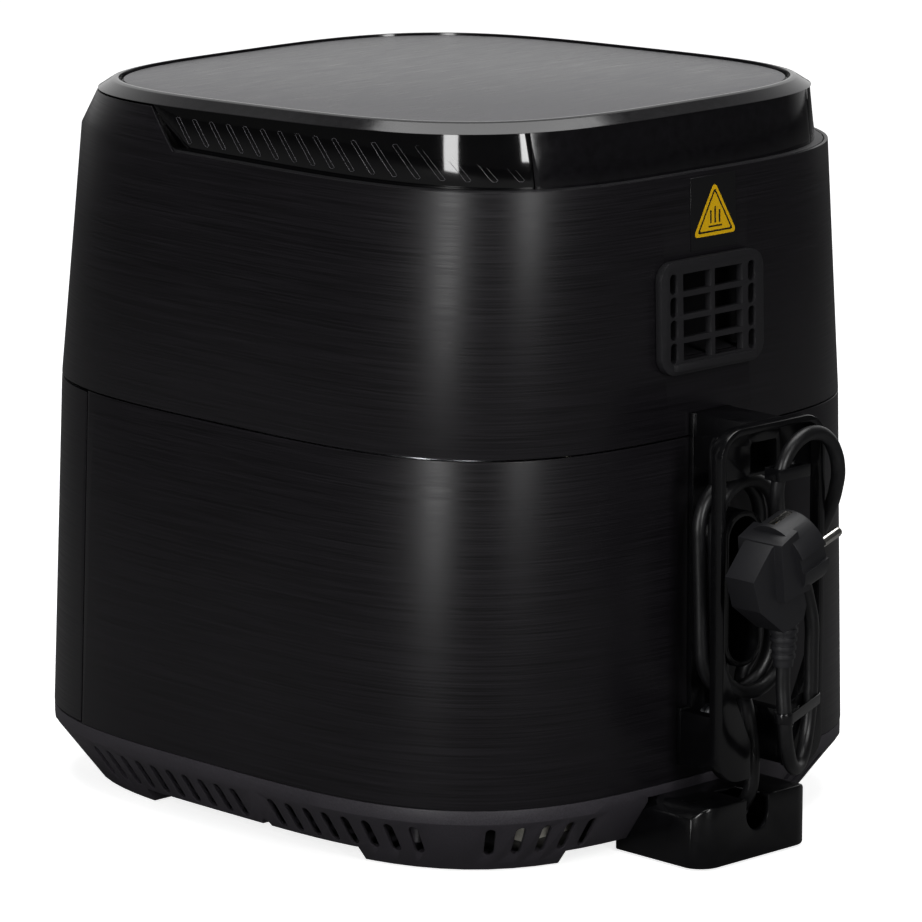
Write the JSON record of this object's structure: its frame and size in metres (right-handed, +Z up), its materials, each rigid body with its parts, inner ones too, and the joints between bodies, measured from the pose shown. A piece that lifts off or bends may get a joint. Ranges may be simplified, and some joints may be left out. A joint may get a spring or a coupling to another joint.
{
  "type": "basket air fryer",
  "caption": "Basket air fryer: rounded housing, sliding drawer with pan and crisper plate, fan and ring heater, rear grille, cord bracket and wound mains cord.",
  "frame": {"origin": "centre of the footprint of the appliance without its cord, on the surface it stands on", "axes": "+Z up, front with the drawer at -Y, rear with the cord at +Y, +X to the right seen from the front"},
  "size_m": [0.321, 0.4827, 0.3603],
  "materials": {
    "wrap_black": "satin, fine horizontal brushed lines",
    "base_black": "fine texture",
    "dark_plastic": "fine texture",
    "top_metal": "dark brushed",
    "gloss_black": "polished",
    "touch_glass": "polished",
    "board_green": "solder resist",
    "zinc_steel": "zinc plated",
    "bare_aluminium": "rolled sheet",
    "heater_metal": "dull",
    "pan_coat": "non-stick coating",
    "rubber_black": "matte",
    "silicone_grey": "matte",
    "copper_wire": "enamelled wire",
    "bearing_bronze": "sintered",
    "label_yellow": "printed film",
    "ceramic_white": "glazed",
    "wire_sleeve": "glass-fibre sleeve",
    "cord_black": "matte sheath",
    "plug_black": "fine texture",
    "plug_pin_metal": "nickel plated",
    "trim_silver": "satin"
  },
  "bodies": {
    "housing": {"base_tray": "base_black", "foot_pads": "rubber_black", "lower_shell": "wrap_black", "upper_shell": "wrap_black", "middle_frame": "dark_plastic", "roof_tray": "dark_plastic", "top_rim": "dark_plastic", "top_panel": "top_metal", "belt_insert_left": "gloss_black", "belt_insert_right": "gloss_black", "control_panel": "touch_glass", "control_board": "board_green", "power_board": "board_green", "exhaust_grille": "dark_plastic", "exhaust_duct": "dark_plastic", "heat_label": "label_yellow", "cord_bracket": "gloss_black", "bracket_rim": "gloss_black", "bracket_cheeks": "gloss_black", "bracket_screws": "zinc_steel", "cord_outlet_block": "base_black", "cord_gland": "rubber_black", "terminal_block": "ceramic_white", "wiring_loom": "wire_sleeve", "chamber_liner": "bare_aluminium", "heat_shield": "bare_aluminium", "drawer_runners": "dark_plastic", "drawer_switch": "dark_plastic", "reflector": "bare_aluminium", "heating_element": "heater_metal", "element_clips": "zinc_steel", "heater_guard": "zinc_steel", "thermal_fuse": "ceramic_white", "temperature_probe": "zinc_steel", "motor_bracket": "zinc_steel", "motor_can": "heater_metal", "motor_stator": "copper_wire", "shaft_bearings": "bearing_bronze", "motor_screws": "zinc_steel", "base_screws": "zinc_steel", "cord_outlet_run": "cord_black", "cord_hank": "cord_black", "cord_plug_run": "cord_black", "mains_plug": "plug_black", "plug_pins": "plug_pin_metal", "cord_ties": "rubber_black"},
    "rotor": {"motor_shaft": "zinc_steel", "motor_rotor": "heater_metal", "hot_air_fan": "bare_aluminium", "cooling_fan": "bare_aluminium"},
    "drawer": {"drawer_front": "wrap_black", "drawer_inner": "dark_plastic", "handle_bar": "dark_plastic", "handle_trim": "trim_silver", "handle_screws": "zinc_steel", "pan": "pan_coat", "pan_bracket": "zinc_steel", "pan_screws": "zinc_steel"},
    "crisper": {"crisper_plate": "pan_coat", "crisper_bumpers": "silicone_grey"}
  },
  "joints": [
    {"name": "fan_spin", "type": "hinge", "parent": "housing", "child": "rotor", "pos_m": [0, 0, 0.25], "axis": [0, 0, 1], "continuous": true},
    {"name": "drawer_slide", "type": "slide", "parent": "housing", "child": "drawer", "axis": [0, -1, 0], "range_m": [0, 0.24]},
    {"name": "crisper_lift", "type": "slide", "parent": "drawer", "child": "crisper", "axis": [0, 0, 1], "range_m": [0, 0.05]}
  ]
}
